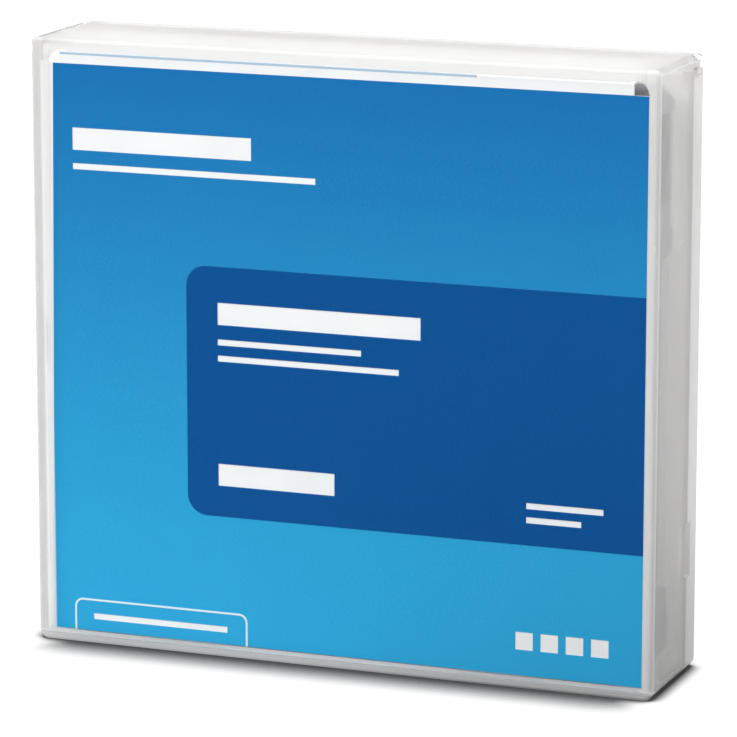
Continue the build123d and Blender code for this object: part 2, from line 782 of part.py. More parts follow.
# Screws, one at each corner
with BuildPart() as shell_screws:
    with BuildSketch(at_y(screw_head_y)):
        with Locations(*boss_places):
            Circle(screw_head_radius)
    extrude(amount=screw_head_wall)
    with BuildSketch(at_y(screw_head_y)):
        with Locations(*boss_places):
            Circle(screw_radius)
    extrude(amount=screw_length)
    with BuildSketch(at_y(screw_head_y)):
        with Locations(*boss_places):
            Rectangle(screw_cross_length, screw_cross_width)
            Rectangle(screw_cross_width, screw_cross_length)
    extrude(amount=screw_cross_depth, mode=Mode.SUBTRACT)

# Door: a slide behind the window, with a finger for the drive's opener
with BuildPart() as door:
    with BuildSketch(at_x(door_inner_x)):
        with Locations((split_y, door_low_z)):
            Rectangle(
                door_back_y - door_front_y,
                door_top_z - door_low_z,
                align=(Align.CENTER, Align.MIN),
            )
    extrude(amount=door_wall)
    with BuildSketch(at_x(door_outer_x)):
        with Locations((split_y, window_top_z - door_finger_drop)):
            Rectangle(door_finger_width, door_finger_height, align=(Align.CENTER, Align.MAX))
    extrude(amount=run_gap + door_finger_reach)

# Door spring, a long thin coil in the channel under the door
with BuildPart() as door_spring:
    with BuildLine() as coil:
        Helix(
            pitch=door_spring_length / door_spring_turns,
            height=door_spring_length,
            radius=door_spring_radius,
            center=(spring_x, spring_y, spring_low_z),
        )
    with BuildSketch(Plane(coil.line @ 0, z_dir=coil.line % 0)):
        RegularPolygon(door_spring_wire, 4)
    sweep(is_frenet=True)

# Leader pin, its clamp, the tape's free end and the wire that holds the pin in its sockets
with BuildPart() as leader_pin:
    with BuildSketch(at_y(pin_back_y)):
        with Locations((pin_x, pin_z)):
            Circle(pin_radius)
    extrude(amount=pin_back_y - pin_front_y)
    with BuildSketch(at_y(pin_back_y), at_y(pin_front_y + pin_head_wall)):
        with Locations((pin_x, pin_z)):
            Circle(pin_head_radius)
    extrude(amount=pin_head_wall)
    heads = leader_pin.edges().filter_by(GeomType.CIRCLE).group_by(Axis.Y)
    chamfer(heads[0] + heads[-1], pin_head_chamfer)

# The tape leaves the pack on the line that touches it and runs to the pin
pin_away = sqrt(pin_x**2 + (pin_z - reel_z) ** 2)
touch_angle = atan2(pin_z - reel_z, pin_x) + acos((pack_radius + run_gap) / pin_away)
touch_x = (pack_radius + run_gap) * cos(touch_angle)
touch_z = reel_z + (pack_radius + run_gap) * sin(touch_angle)
span = sqrt((pin_x - touch_x) ** 2 + (pin_z - touch_z) ** 2)
span_angle = degrees(atan2(pin_z - touch_z, pin_x - touch_x))
clamp_inner = pin_radius + clamp_gap
clamp_outer = clamp_inner + clamp_wall

with BuildPart() as tape_leader:
    with BuildSketch(at_y(split_y + tape_width / 2 - leader_inset)):
        with Locations(Location((touch_x, touch_z), span_angle)):
            Rectangle(span - clamp_inner - fit_gap, leader_wall, align=(Align.MIN, Align.MIN))
    extrude(amount=tape_width - 2 * leader_inset)

with BuildPart() as pin_clamp:
    with BuildSketch(at_y(split_y + clamp_length / 2)):
        with Locations(Location((pin_x, pin_z), span_angle)):
            Circle(clamp_outer)
            Circle(clamp_inner, mode=Mode.SUBTRACT)
            Rectangle(
                2 * clamp_outer, clamp_slot, align=(Align.MAX, Align.CENTER), mode=Mode.SUBTRACT
            )
    extrude(amount=clamp_length)

wire_z = pin_z + pin_radius + seat_gap + spring_wire
wire_back_x = boss_places[1][0] + boss_radius + seat_gap + spring_wire
with BuildPart() as pin_spring:
    with BuildLine() as wire:
        FilletPolyline(
            (pin_x + spring_past_pin, split_y - arm_reach, wire_z),
            (wire_back_x, split_y - arm_reach, wire_z + spring_rise),
            (wire_back_x, split_y + arm_reach, wire_z + spring_rise),
            (pin_x + spring_past_pin, split_y + arm_reach, wire_z),
            radius=spring_bend,
        )
    with BuildSketch(Plane(wire.line @ 0, z_dir=wire.line % 0)):
        RegularPolygon(spring_wire, 6)
    sweep()

# Reel hub with the lower flange, the drive teeth under it and the brake teeth inside
with BuildPart() as reel_hub:
    with BuildSketch(Plane.XY.offset(reel_z)):
        with BuildLine():
            Polyline(
                (0, hub_floor_y),
                (hub_inner, hub_floor_y),
                (hub_inner, slot_front_y),
                (hub_radius, slot_front_y),
                (hub_radius, slot_back_y),
                (flange_radius, slot_back_y + flange_wall - flange_rim_wall),
                (flange_radius, slot_back_y + flange_wall),
                (boss_outer, slot_back_y + flange_wall),
                (boss_outer, tooth_root_y),
                (drive_ring_inner, tooth_root_y),
                (drive_ring_inner, hub_under_y),
                (0, hub_under_y),
                close=True,
            )
        make_face()
    revolve(axis=reel_axis)
    with BuildSketch(at_y(tooth_root_y)):
        with Locations((0, reel_z)):
            with PolarLocations(drive_middle, drive_teeth):
                Rectangle(
                    boss_outer - drive_ring_inner - 2 * drive_tooth_margin,
                    drive_pitch * drive_tooth_share,
                )
    extrude(amount=-drive_tooth_height, taper=tooth_taper)
    with BuildSketch(at_y(hub_floor_y)):
        with Locations((0, reel_z)):
            with PolarLocations(brake_middle, brake_teeth):
                Rectangle(brake_ring_outer - brake_ring_inner, brake_pitch * brake_tooth_share)
    extrude(amount=brake_tooth_height, taper=tooth_taper)
    # holes for the release plate's legs
    with BuildSketch(at_y(tooth_tip_y + over)):
        with Locations((0, reel_z)):
            with PolarLocations(release_leg_from_axis, release_leg_count, start_angle=90):
                Circle(release_leg_radius + run_gap)
    extrude(amount=tooth_tip_y - hub_floor_y + 2 * over, mode=Mode.SUBTRACT)

with BuildPart() as reel_flange:
    with BuildSketch(Plane.XY.offset(reel_z)):
        with BuildLine():
            Polyline(
                (hub_inner + flange_lip, slot_front_y),
                (hub_radius + flange_land, slot_front_y),
                (flange_radius, slot_front_y - flange_wall + flange_rim_wall),
                (flange_radius, slot_front_y - flange_wall),
                (hub_inner + flange_lip, slot_front_y - flange_wall),
                close=True,
            )
        make_face()
    revolve(axis=reel_axis)

with BuildPart() as tape_pack:
    with BuildSketch(at_y(split_y + tape_width / 2)):
        with Locations((0, reel_z)):
            Circle(pack_radius)
            Circle(hub_radius + fit_gap, mode=Mode.SUBTRACT)
    extrude(amount=tape_width)

# Steel plate that the drive's magnet pulls on
with BuildPart() as drive_plate:
    with BuildSketch(at_y(hub_under_y + plate_wall)):
        with Locations((0, reel_z)):
            Circle(plate_radius)
            Circle(plate_bore, mode=Mode.SUBTRACT)
            with PolarLocations(release_leg_from_axis, release_leg_count, start_angle=90):
                Circle(release_leg_radius + 2 * run_gap, mode=Mode.SUBTRACT)
            with PolarLocations((plate_radius + plate_bore) / 2, release_leg_count, start_angle=30):
                Circle(plate_hole_radius, mode=Mode.SUBTRACT)
    extrude(amount=plate_wall)

# Brake button: teeth towards the hub's floor, a socket on the shell's square post
with BuildPart() as brake_button:
    with BuildSketch(at_y(brake_root_y)):
        with Locations((0, reel_z)):
            Circle(brake_ring_outer)
    extrude(amount=brake_disc_wall)
    with BuildSketch(at_y(brake_root_y)):
        with Locations((0, reel_z)):
            Circle(brake_boss_radius)
    extrude(amount=brake_root_y - brake_boss_y)
    with BuildSketch(at_y(brake_root_y)):
        with Locations((0, reel_z)):
            with PolarLocations(brake_middle, brake_teeth):
                Rectangle(
                    brake_ring_outer - brake_ring_inner - 2 * button_tooth_margin,
                    brake_pitch * button_tooth_share,
                )
    extrude(amount=-brake_tooth_height, taper=tooth_taper)
    with BuildSketch(at_y(brake_boss_y)):
        with Locations((0, reel_z)):
            Rectangle(brake_post_side + 2 * run_gap, brake_post_side + 2 * run_gap)
    extrude(amount=-(brake_root_y - brake_socket_roof - brake_boss_y), mode=Mode.SUBTRACT)
    # pad that the release plate pushes on
    with BuildSketch(at_y(brake_pad_y)):
        with Locations((0, reel_z)):
            Circle(brake_pad_radius)
    extrude(amount=brake_pad_y - brake_root_y)

with BuildPart() as brake_spring:
    coil_start_y = inner_front_y + run_gap
    coil_length = brake_top_y - run_gap - coil_start_y - 2 * brake_spring_wire
    with BuildLine() as brake_coil:
        Helix(
            pitch=coil_length / brake_spring_turns,
            height=coil_length,
            radius=brake_spring_radius,
            center=(0, coil_start_y + brake_spring_wire, reel_z),
            direction=(0, 1, 0),
        )
    with BuildSketch(Plane(brake_coil.line @ 0, z_dir=brake_coil.line % 0)):
        RegularPolygon(brake_spring_wire, 4)
    sweep(is_frenet=True)

# Release plate: three legs through the hub's floor, for a drive to push
with BuildPart() as release_plate:
    with BuildSketch(at_y(release_y)):
        with Locations((0, reel_z)):
            Circle(release_disc_radius)
            with PolarLocations(0, release_leg_count, start_angle=90):
                with Locations((release_leg_from_axis / 2, 0)):
                    Rectangle(release_leg_from_axis, 2 * release_leg_radius)
            with PolarLocations(release_leg_from_axis, release_leg_count, start_angle=90):
                Circle(release_leg_radius)
    extrude(amount=release_wall)
    with BuildSketch(at_y(release_y)):
        with Locations((0, reel_z)):
            with PolarLocations(release_leg_from_axis, release_leg_count, start_angle=90):
                Circle(release_leg_radius)
    extrude(amount=-(tooth_root_y - release_leg_setback - release_y))

# Write-protect slide: a nub in the window on a wider body behind the wall
with BuildPart() as write_tab:
    nub = tab_window - tab_travel - 2 * run_gap
    nub_x = tab_window_x + run_gap + nub / 2
    with BuildSketch(Plane.XY.offset(cart_low_z + tab_recess)):
        with Locations((nub_x, tab_y)):
            Rectangle(nub, tab_window_width - 2 * run_gap)
    extrude(amount=shell_side_wall - tab_recess + run_gap)
    with BuildSketch(Plane.XY.offset(inner_low_z + run_gap)):
        with Locations((nub_x, tab_y)):
            Rectangle(nub + 2 * tab_lap, tab_window_width + 2 * tab_lap_side)
    extrude(amount=tab_wall)
    with BuildSketch(Plane.XY.offset(cart_low_z + tab_recess)):
        with Locations((nub_x, tab_y)):
            with GridLocations(tab_grip_pitch, 1, tab_grip_count, 1):
                Rectangle(tab_grip_width, tab_window_width)
    extrude(amount=tab_grip_depth, mode=Mode.SUBTRACT)

# Memory chip, a small board set across the rear corner
with BuildPart() as memory_chip:
    chip_reach = (chip_length + chip_wall) / 2 / sqrt(2) + seat_gap
    chip_place = Location((inner_x - chip_reach, inner_low_z + chip_reach), 45)
    with BuildSketch(at_y(inner_back_y - seat_gap)):
        with Locations(chip_place):
            Rectangle(chip_length, chip_wall)
    extrude(amount=chip_width)

pieces = {
    "case_base": case_base,
    "case_lid": case_lid,
    "insert_card": insert_card,
    "print_blue_field": print_blue_field,
    "print_dark_panel": print_dark_panel,
    "print_tab_outline": print_tab_outline,
    "label_sheet": label_sheet,
    "upper_shell": upper_shell,
    "lower_shell": lower_shell,
    "shell_screws": shell_screws,
    "door": door,
    "door_spring": door_spring,
    "leader_pin": leader_pin,
    "pin_clamp": pin_clamp,
    "pin_spring": pin_spring,
    "tape_leader": tape_leader,
    "tape_pack": tape_pack,
    "reel_hub": reel_hub,
    "reel_flange": reel_flange,
    "drive_plate": drive_plate,
    "brake_button": brake_button,
    "brake_spring": brake_spring,
    "release_plate": release_plate,
    "write_tab": write_tab,
    "memory_chip": memory_chip,
}

os.makedirs("parts", exist_ok=True)
for name, piece in pieces.items():
    piece.part.label = name
    export_step(piece.part, f"parts/{name}.step")
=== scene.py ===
from math import cos, radians, sin

import bpy
import numpy as np
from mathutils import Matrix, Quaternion, Vector


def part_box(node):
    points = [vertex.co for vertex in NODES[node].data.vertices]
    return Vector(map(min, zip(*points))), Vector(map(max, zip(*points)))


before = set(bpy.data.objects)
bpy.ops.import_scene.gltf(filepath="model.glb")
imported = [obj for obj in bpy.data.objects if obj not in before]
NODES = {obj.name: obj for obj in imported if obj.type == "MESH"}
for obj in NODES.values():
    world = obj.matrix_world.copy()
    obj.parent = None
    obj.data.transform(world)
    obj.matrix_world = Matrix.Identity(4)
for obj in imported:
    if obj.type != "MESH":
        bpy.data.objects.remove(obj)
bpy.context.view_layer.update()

# Data tape cartridge in its library case: the finish of every piece, the studio and the camera.
# Metres, X across the case, Y from its front to its back, Z up.

MM = 0.001

# Places that the finishes follow, from the frame
CASE_LOW, CASE_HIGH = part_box("case_lid")
CARD_LOW, CARD_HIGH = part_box("insert_card")
FIELD_LOW, FIELD_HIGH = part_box("print_blue_field")
PACK_LOW, PACK_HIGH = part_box("tape_pack")
SHEET_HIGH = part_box("label_sheet")[1]
REEL_X = (PACK_LOW.x + PACK_HIGH.x) / 2
REEL_Z = (PACK_LOW.z + PACK_HIGH.z) / 2
SHOULDER_Z = FIELD_HIGH.z
SIDE_FACE = CASE_HIGH.x - 1.35 * MM  # just inside the lid's side walls
NECK_X = CARD_HIGH.x - 2.7 * MM
LUG_RADIUS = 2.4 * MM  # of the quarter circle over each of the card's shoulders
FRONT_WALL = 1.2 * MM
FACE_SLACK = 0.05 * MM  # past a face, so that the face itself is counted in
LID_MILK = 0.5  # share of the lid's wall that scatters light; the rest is frosted but clear
SIDE_MILK = 0.23  # the same for the lid's side walls
STRIP_MILK = 0.6  # and for the strips of its front wall beside the card
BASE_MILK = 0.62  # and for the base
MILK_THROUGH = 0.35  # share of the scattered light that goes through the wall
STRIP_THROUGH = 0.3  # the same for the strips beside the card
CASE_BUMP = 0.006 * MM  # depth of the mould texture on the case
FROST_TINT = (0.83, 0.825, 0.825, 1.0)  # light that passes one frosted face
WINDOW_TINT = (0.93, 0.93, 0.925, 1.0)  # light that passes one polished face
WINDOW_EDGE = 0.15 * MM  # over which the polished window turns to frost
WINDOW_MIDDLE = 0.4 * MM  # the window's middle, to the right of the card's
WINDOW_HALF = CARD_HIGH.x - WINDOW_MIDDLE
WINDOW_SLANT_X = 0.46 * MM  # of the window's edges from the wall's inner face to its outer one
WINDOW_SLANT_Z = 0.29 * MM

# Camera, at the photo's viewing angle
CAMERA_AZIMUTH = 21.0
CAMERA_RISE = 12.15
CAMERA_ROLL = 0.022
CAMERA_DISTANCE = 0.7962
CAMERA_AIM = Vector((0.00102, -0.00023, 0.05181))
CAMERA_SENSOR = 36.0
CAMERA_LENS = 220.63


def screen(red, green, blue):
    """Linear colour of a screen colour given in 0 to 255."""
    parts = np.array((red, green, blue)) / 255
    linear = np.where(parts <= 0.04045, parts / 12.92, ((parts + 0.055) / 1.055) ** 2.4)
    return (*linear.tolist(), 1.0)


class Tree:
    """A node tree that is filled by short calls."""

    def __init__(self, tree):
        self.tree = tree

    def add(self, kind, settings=None, **inputs):
        """A new node. settings are its properties, inputs its sockets: a value, or a socket to link."""
        node = self.tree.nodes.new(kind)
        for name, value in (settings or {}).items():
            setattr(node, name, value)
        for name, value in inputs.items():
            self.feed(node.inputs[name.replace("_", " ")], value)
        return node

    def feed(self, socket, value):
        """Links value to the socket if it is a socket, and sets it otherwise."""
        if isinstance(value, bpy.types.NodeSocket):
            self.tree.links.new(value, socket)
        else:
            socket.default_value = value

    def math(self, operation, first, second=0.0, clamp=False):
        """One arithmetic node's output."""
        node = self.add("ShaderNodeMath", {"operation": operation, "use_clamp": clamp})
        self.feed(node.inputs[0], first)
        self.feed(node.inputs[1], second)
        return node.outputs[0]

    def mix(self, share, first, second):
        """Colour between first and second by share."""
        node = self.add("ShaderNodeMix", {"data_type": "RGBA"})
        self.feed(node.inputs["Factor"], share)
        self.feed(node.inputs["A"], first)
        self.feed(node.inputs["B"], second)
        return node.outputs["Result"]

    def distance(self, first, second):
        """Length of the way that goes first and second at a right angle: the root of their squares' sum."""
        squares = self.math(
            "ADD", self.math("MULTIPLY", first, first), self.math("MULTIPLY", second, second)
        )
        return self.math("SQRT", squares)

    def span(self, value, low, high, to_low=0.0, to_high=1.0, smooth=False):
        """value moved from low..high to to_low..to_high, and held at the ends."""
        node = self.add("ShaderNodeMapRange", {"interpolation_type": "SMOOTHSTEP" if smooth else "LINEAR"})
        for name, part in (("Value", value), ("From Min", low), ("From Max", high),
                           ("To Min", to_low), ("To Max", to_high)):
            self.feed(node.inputs[name], part)
        return node.outputs["Result"]


def new_group(name, inputs, outputs):
    """A shader node group with these sockets, each (name, kind, default), and its in and out nodes."""
    group = bpy.data.node_groups.new(name, "ShaderNodeTree")
    for direction, sockets in (("INPUT", inputs), ("OUTPUT", outputs)):
        for label, kind, default in sockets:
            socket = group.interface.new_socket(
                name=label, in_out=direction, socket_type="NodeSocket" + kind
            )
            if default is not None:
                socket.default_value = default
    tree = Tree(group)
    return tree, tree.add("NodeGroupInput").outputs, tree.add("NodeGroupOutput").inputs


def use_group(tree, group, **inputs):
    """An instance of the node group with its own values."""
    node = tree.add("ShaderNodeGroup", {"node_tree": group})
    for name, value in inputs.items():
        tree.feed(node.inputs[name.replace("_", " ")], value)
    return node.outputs


def object_place(tree):
    """The surface point's own X, Y and Z."""
    point = tree.add("ShaderNodeTexCoord").outputs["Object"]
    return tree.add("ShaderNodeSeparateXYZ", Vector=point).outputs


def make_moulded_skin():
    """Spark-eroded mould texture: fine pits, and a broad slow unevenness of tone."""
    tree, given, result = new_group(
        "moulded_skin",
        [("Pits Per Metre", "Float", 2500.0), ("Drift Per Metre", "Float", 60.0)],
        [("Height", "Float", None), ("Tone", "Float", None)],
    )
    place = tree.add("ShaderNodeTexCoord").outputs["Object"]
    pits = tree.add("ShaderNodeTexNoise", Vector=place, Scale=given["Pits Per Metre"], Detail=2.0)
    drift = tree.add("ShaderNodeTexNoise", Vector=place, Scale=given["Drift Per Metre"], Detail=3.0)
    tree.feed(result["Height"], pits.outputs["Fac"])
    tree.feed(result["Tone"], tree.span(drift.outputs["Fac"], 0.3, 0.7))
    return tree.tree


def make_paper_fibre():
    """Coated board: short fibres stretched along one way, and a faint cloudiness."""
    tree, given, result = new_group(
        "paper_fibre",
        [("Fibres Per Metre", "Float", 3000.0)],
        [("Height", "Float", None), ("Tone", "Float", None)],
    )
    place = tree.add("ShaderNodeTexCoord").outputs["Object"]
    stretched = tree.add("ShaderNodeMapping", Vector=place, Scale=(0.35, 1.0, 1.0)).outputs["Vector"]
    fibres = tree.add(
        "ShaderNodeTexNoise", Vector=stretched, Scale=given["Fibres Per Metre"], Detail=4.0, Roughness=0.6
    )
    clouds = tree.add("ShaderNodeTexNoise", Vector=place, Scale=120.0, Detail=2.0)
    tree.feed(result["Height"], fibres.outputs["Fac"])
    tree.feed(result["Tone"], tree.span(clouds.outputs["Fac"], 0.3, 0.7))
    return tree.tree


def make_turned_rings():
    """Rings round the reel's axis, uneven from ring to ring, as a lathe or a wound tape leaves them."""
    tree, given, result = new_group(
        "turned_rings",
        [("Rings Per Metre", "Float", 8000.0), ("Centre X", "Float", REEL_X), ("Centre Z", "Float", REEL_Z)],
        [("Height", "Float", None), ("Tone", "Float", None)],
    )
    place = object_place(tree)
    across = tree.math("SUBTRACT", place["X"], given["Centre X"])
    up = tree.math("SUBTRACT", place["Z"], given["Centre Z"])
    radius = tree.distance(across, up)
    flat = tree.add("ShaderNodeCombineXYZ", X=radius).outputs["Vector"]
    fine = tree.add("ShaderNodeTexNoise", Vector=flat, Scale=given["Rings Per Metre"], Detail=3.0)
    broad = tree.add("ShaderNodeTexNoise", Vector=flat, Scale=400.0, Detail=2.0)
    tree.feed(result["Height"], fine.outputs["Fac"])
    tree.feed(result["Tone"], tree.span(broad.outputs["Fac"], 0.3, 0.7))
    return tree.tree


MOULDED_SKIN = make_moulded_skin()
PAPER_FIBRE = make_paper_fibre()
TURNED_RINGS = make_turned_rings()


def new_material(name):
    """An empty material, its tree and its output node."""
    material = bpy.data.materials.new(name)
    material.use_nodes = True
    material.node_tree.nodes.clear()
    tree = Tree(material.node_tree)
    return material, tree, tree.add("ShaderNodeOutputMaterial")


def bump(tree, height, depth):
    """Normal that a height of that depth in metres gives."""
    node = tree.add("ShaderNodeBump", Height=height, Distance=depth, Strength=1.0)
    return node.outputs["Normal"]


def plastic(name, colour, roughness, pits=2500.0, depth=0.01 * MM, drift=0.06):
    """Opaque moulded plastic: the colour drifts a little in tone, and fine pits break its gloss."""
    material, tree, out = new_material(name)
    skin = use_group(tree, MOULDED_SKIN, Pits_Per_Metre=pits)
    darker = tuple(part * (1 - drift) for part in colour[:3]) + (1.0,)
    lighter = tuple(min(1.0, part * (1 + drift)) for part in colour[:3]) + (1.0,)
    shader = tree.add(
        "ShaderNodeBsdfPrincipled",
        Base_Color=tree.mix(skin["Tone"], darker, lighter),
        Roughness=tree.span(skin["Tone"], 0.0, 1.0, roughness * 0.9, roughness * 1.1),
        Normal=bump(tree, skin["Height"], depth),
    )
    tree.feed(out.inputs["Surface"], shader.outputs["BSDF"])
    return material


def metal(name, colour, roughness, rings=False):
    """Bare metal with fine drawing or turning marks."""
    material, tree, out = new_material(name)
    if rings:
        marks = use_group(tree, TURNED_RINGS, Rings_Per_Metre=6000.0)
    else:
        marks = use_group(tree, MOULDED_SKIN, Pits_Per_Metre=6000.0)
    darker = tuple(part * 0.85 for part in colour[:3]) + (1.0,)
    shader = tree.add(
        "ShaderNodeBsdfPrincipled",
        Base_Color=tree.mix(marks["Tone"], darker, colour),
        Metallic=1.0,
        Roughness=tree.span(marks["Tone"], 0.0, 1.0, roughness * 0.8, roughness * 1.2),
        Normal=bump(tree, marks["Height"], 0.004 * MM),
    )
    tree.feed(out.inputs["Surface"], shader.outputs["BSDF"])
    return material


def lets_light_through(tree, shader, tint):
    """shader, but lamps' and diffuse rays pass it with only that tint, as they do through a thin wall."""
    path = tree.add("ShaderNodeLightPath").outputs
    passing = tree.math("MAXIMUM", path["Is Shadow Ray"], path["Is Diffuse Ray"])
    clear = tree.add("ShaderNodeBsdfTransparent", Color=tint)
    both = tree.add("ShaderNodeMixShader")
    tree.feed(both.inputs[0], passing)
    tree.feed(both.inputs[1], shader)
    tree.feed(both.inputs[2], clear.outputs["BSDF"])
    return both.outputs["Shader"]


def mix_shaders(tree, share, first, second):
    """Shader between first and second by share."""
    node = tree.add("ShaderNodeMixShader")
    tree.feed(node.inputs[0], share)
    tree.feed(node.inputs[1], first)
    tree.feed(node.inputs[2], second)
    return node.outputs["Shader"]


def card_window(tree, place):
    """Mask that is 1 over the card: up to its shoulders over its whole width, up to its fold over its
    neck, and a quarter circle over each shoulder. Its edges slant from the wall's inner face to its
    outer one."""
    outward = tree.span(place["Y"], CASE_LOW.y, CASE_LOW.y + FRONT_WALL, 1.0, 0.0)
    middle = tree.span(outward, 0.0, 1.0, WINDOW_MIDDLE, WINDOW_MIDDLE + WINDOW_SLANT_X)
    across = tree.math("ABSOLUTE", tree.math("SUBTRACT", place["X"], middle))
    up = tree.math("SUBTRACT", place["Z"], tree.math("MULTIPLY", outward, WINDOW_SLANT_Z))

    def below(value, limit):
        return tree.span(value, limit, limit + WINDOW_EDGE, 1.0, 0.0, smooth=True)

    wide = tree.math("MULTIPLY", below(across, WINDOW_HALF), below(up, SHOULDER_Z))
    tall = tree.math("MULTIPLY", below(across, NECK_X), below(up, CARD_HIGH.z))
    along = tree.math("SUBTRACT", across, WINDOW_HALF - LUG_RADIUS)
    over = tree.math("SUBTRACT", up, SHOULDER_Z)
    corner = below(tree.distance(along, over), LUG_RADIUS)
    parts = tree.math("MAXIMUM", tree.math("MAXIMUM", wide, tall), corner)
    foot = tree.span(up, CARD_LOW.z - WINDOW_EDGE, CARD_LOW.z, smooth=True)
    return tree.math("MULTIPLY", foot, parts)


def case_plastic(name, milk_share, whites, has_window):
    """Natural polypropylene: milky and frosted, but polished clear over the lid's front wall."""
    material, tree, out = new_material(name)
    skin = use_group(tree, MOULDED_SKIN, Pits_Per_Metre=1800.0, Drift_Per_Metre=35.0)
    frost = tree.add(
        "ShaderNodeBsdfPrincipled",
        Base_Color=(0.97, 0.97, 0.965, 1.0),
        Roughness=0.14,
        IOR=1.12,
        Transmission_Weight=1.0,
        Normal=bump(tree, skin["Height"], CASE_BUMP),
    )
    milk = tree.add(
        "ShaderNodeBsdfPrincipled",
        Base_Color=tree.mix(skin["Tone"], *whites),
        Roughness=0.42,
        Normal=bump(tree, skin["Height"], CASE_BUMP),
    )
    through = tree.add("ShaderNodeBsdfTranslucent", Color=(0.86, 0.86, 0.85, 1.0))
    through_share = MILK_THROUGH
    if has_window:
        place = object_place(tree)
        aside = tree.math("ABSOLUTE", place["X"])
        in_front = tree.math("LESS_THAN", place["Y"], CASE_LOW.y + FRONT_WALL + FACE_SLACK)
        strip = tree.math("MULTIPLY", in_front, tree.math("GREATER_THAN", aside, CARD_HIGH.x))
        on_side = tree.math("GREATER_THAN", aside, SIDE_FACE)
        milk_share = tree.span(on_side, 0.0, 1.0, milk_share, SIDE_MILK)
        milk_share = tree.math("MAXIMUM", milk_share, tree.math("MULTIPLY", strip, STRIP_MILK))
        through_share = tree.span(strip, 0.0, 1.0, MILK_THROUGH, STRIP_THROUGH)
    body = mix_shaders(tree, through_share, milk.outputs["BSDF"], through.outputs["BSDF"])
    cloudy = mix_shaders(tree, milk_share, frost.outputs["BSDF"], body)
    tint = FROST_TINT
    if has_window:
        window = tree.math("MULTIPLY", in_front, card_window(tree, place))
        clear = tree.add(
            "ShaderNodeBsdfPrincipled",
            Base_Color=(0.99, 0.99, 0.99, 1.0),
            Roughness=0.03,
            IOR=1.05,
            Transmission_Weight=1.0,
        )
        cloudy = mix_shaders(tree, window, cloudy, clear.outputs["BSDF"])
        tint = tree.mix(window, FROST_TINT, WINDOW_TINT)
    tree.feed(out.inputs["Surface"], lets_light_through(tree, cloudy, tint))
    return material


def lay_sheet(tree, out, fibre, colour, roughness=0.7, gloss=0.2, depth=0.004 * MM):
    """The matt face of a board or sheet: its colour over its fibres, which stand up by depth."""
    shader = tree.add(
        "ShaderNodeBsdfPrincipled",
        Base_Color=colour,
        Roughness=roughness,
        Specular_IOR_Level=gloss,
        Normal=bump(tree, fibre["Height"], depth),
    )
    tree.feed(out.inputs["Surface"], shader.outputs["BSDF"])


def printed(name, stops):
    """Ink on coated board: colour stops up the card, faintly clouded, over the board's fibres."""
    material, tree, out = new_material(name)
    fibre = use_group(tree, PAPER_FIBRE)
    place = object_place(tree)
    height = tree.span(place["Z"], FIELD_LOW.z, FIELD_HIGH.z)
    colour = stops[0][1]
    for (below, _), (level, shade) in zip(stops, stops[1:]):
        colour = tree.mix(tree.span(height, below, level), colour, shade)
    dark = tree.add("ShaderNodeMix", {"data_type": "RGBA", "blend_type": "MULTIPLY"})
    tree.feed(dark.inputs["Factor"], tree.math("MULTIPLY", fibre["Tone"], 0.04))
    tree.feed(dark.inputs["A"], colour)
    tree.feed(dark.inputs["B"], (0.55, 0.6, 0.65, 1.0))
    lay_sheet(tree, out, fibre, dark.outputs["Result"], roughness=0.5, gloss=0.0, depth=0.002 * MM)
    return material


def paper(name, colour):
    """Plain paper or board with fibres and a faint cloudiness."""
    material, tree, out = new_material(name)
    fibre = use_group(tree, PAPER_FIBRE)
    darker = tuple(part * 0.95 for part in colour[:3]) + (1.0,)
    lay_sheet(tree, out, fibre, tree.mix(fibre["Tone"], darker, colour))
    return material


def folded_card(name):
    """White board. Just below the fold, over the width of the sheet behind, a thin blue-grey line of
    painted shade is laid over it."""
    material, tree, out = new_material(name)
    fibre = use_group(tree, PAPER_FIBRE)
    place = object_place(tree)
    # mask of the painted shade line: under the fold, as wide as the sheet behind
    along = tree.span(place["X"], SHEET_HIGH.x - 0.3 * MM, SHEET_HIGH.x, 1.0, 0.0, smooth=True)
    lower = tree.span(place["Z"], CARD_HIGH.z - 0.6 * MM, CARD_HIGH.z - 0.45 * MM, smooth=True)
    upper = tree.span(place["Z"], CARD_HIGH.z - 0.15 * MM, CARD_HIGH.z, 1.0, 0.0, smooth=True)
    line = tree.math("MULTIPLY", along, tree.math("MULTIPLY", lower, upper))
    white = tree.mix(fibre["Tone"], screen(243, 245, 247), screen(248, 250, 251))
    # the blue-grey here is painted shade, not a colour of the board
    lay_sheet(tree, out, fibre, tree.mix(line, white, screen(176, 201, 222)))
    return material


def wound_tape(name):
    """The pack's face: near-black film edges in rings, some a little prouder and shinier."""
    material, tree, out = new_material(name)
    rings = use_group(tree, TURNED_RINGS, Rings_Per_Metre=9000.0)
    shader = tree.add(
        "ShaderNodeBsdfPrincipled",
        Base_Color=tree.mix(rings["Tone"], screen(28, 26, 27), screen(52, 47, 46)),
        Roughness=tree.span(rings["Tone"], 0.0, 1.0, 0.22, 0.4),
        Normal=bump(tree, rings["Height"], 0.01 * MM),
    )
    tree.feed(out.inputs["Surface"], shader.outputs["BSDF"])
    return material


